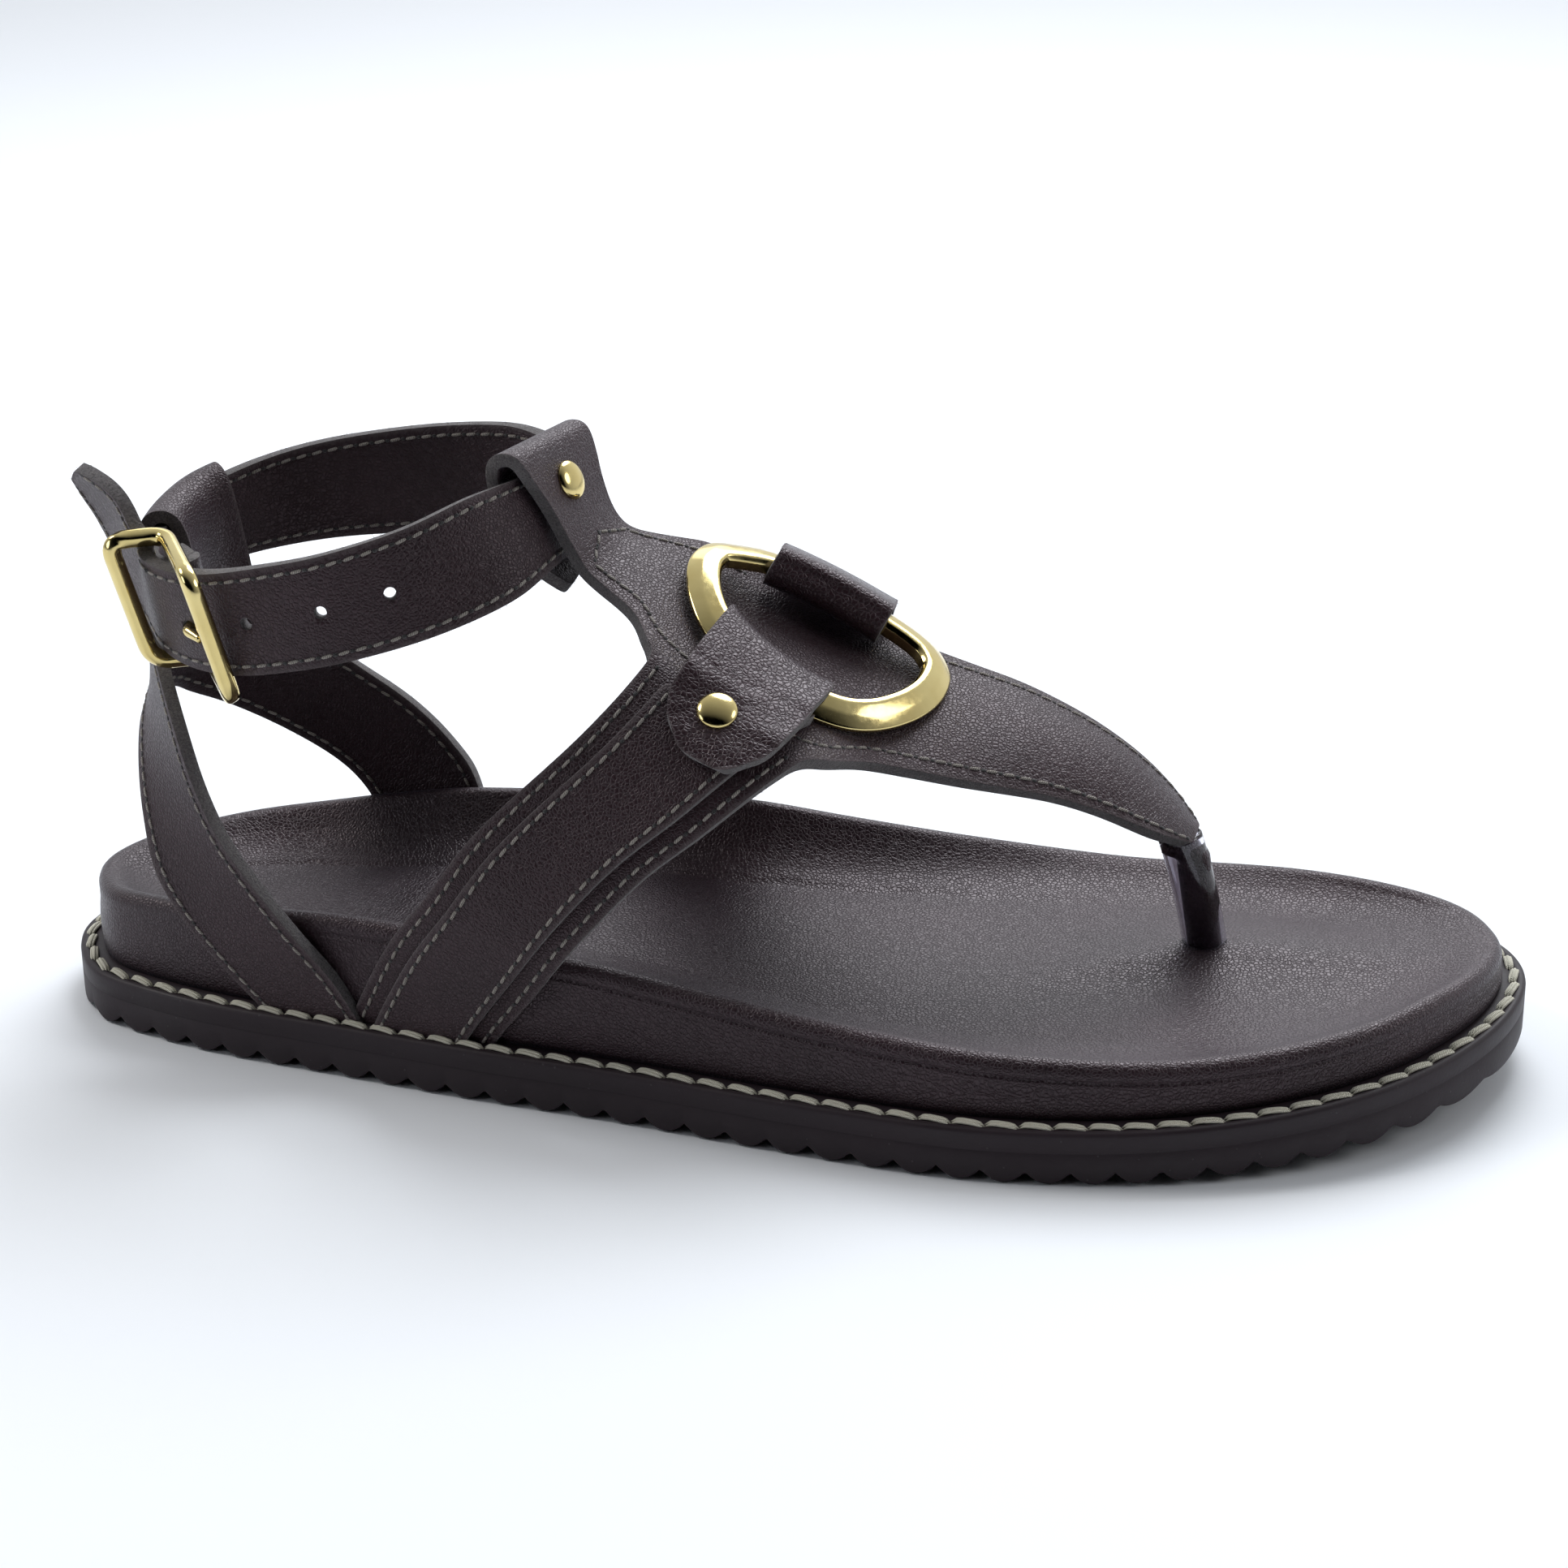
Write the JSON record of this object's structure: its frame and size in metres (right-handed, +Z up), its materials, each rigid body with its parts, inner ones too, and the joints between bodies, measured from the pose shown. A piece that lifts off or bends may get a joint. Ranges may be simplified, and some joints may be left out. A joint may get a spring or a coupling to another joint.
{
  "type": "toe loop sandal",
  "caption": "Flat leather sandal with a toe loop, T-shaped upper with metal ring, buckled ankle strap, heel sling and ribbed rubber sole.",
  "frame": {"origin": "on the floor under the middle of the heel seat, 34 mm from the back of the heel", "axes": "+X to the toe, +Y to the inner side of the foot, +Z up"},
  "size_m": [0.2679, 0.1015, 0.1087],
  "materials": {
    "outsole_rubber": "matt moulded rubber, near black brown",
    "footbed_leather": "smooth dark brown leather with a soft sheen",
    "strap_leather": "dark brown grained leather with raw suede edges and grey-beige stitches",
    "gold_metal": "polished pale gold plating",
    "clear_plastic": "clear glossy tube"
  },
  "bodies": {
    "root": {"outsole": "outsole_rubber", "footbed": "footbed_leather", "toe_thong": "strap_leather", "toe_sleeve": "clear_plastic", "vamp": "strap_leather", "heel_sling": "strap_leather", "ankle_strap": "strap_leather", "ring_tab_lateral": "strap_leather", "ring_tab_medial": "strap_leather", "ring": "gold_metal", "buckle_frame": "gold_metal", "buckle_prong": "gold_metal", "rivet_lateral": "gold_metal", "rivet_medial": "gold_metal", "rivet_instep": "gold_metal"}
  },
  "joints": []
}
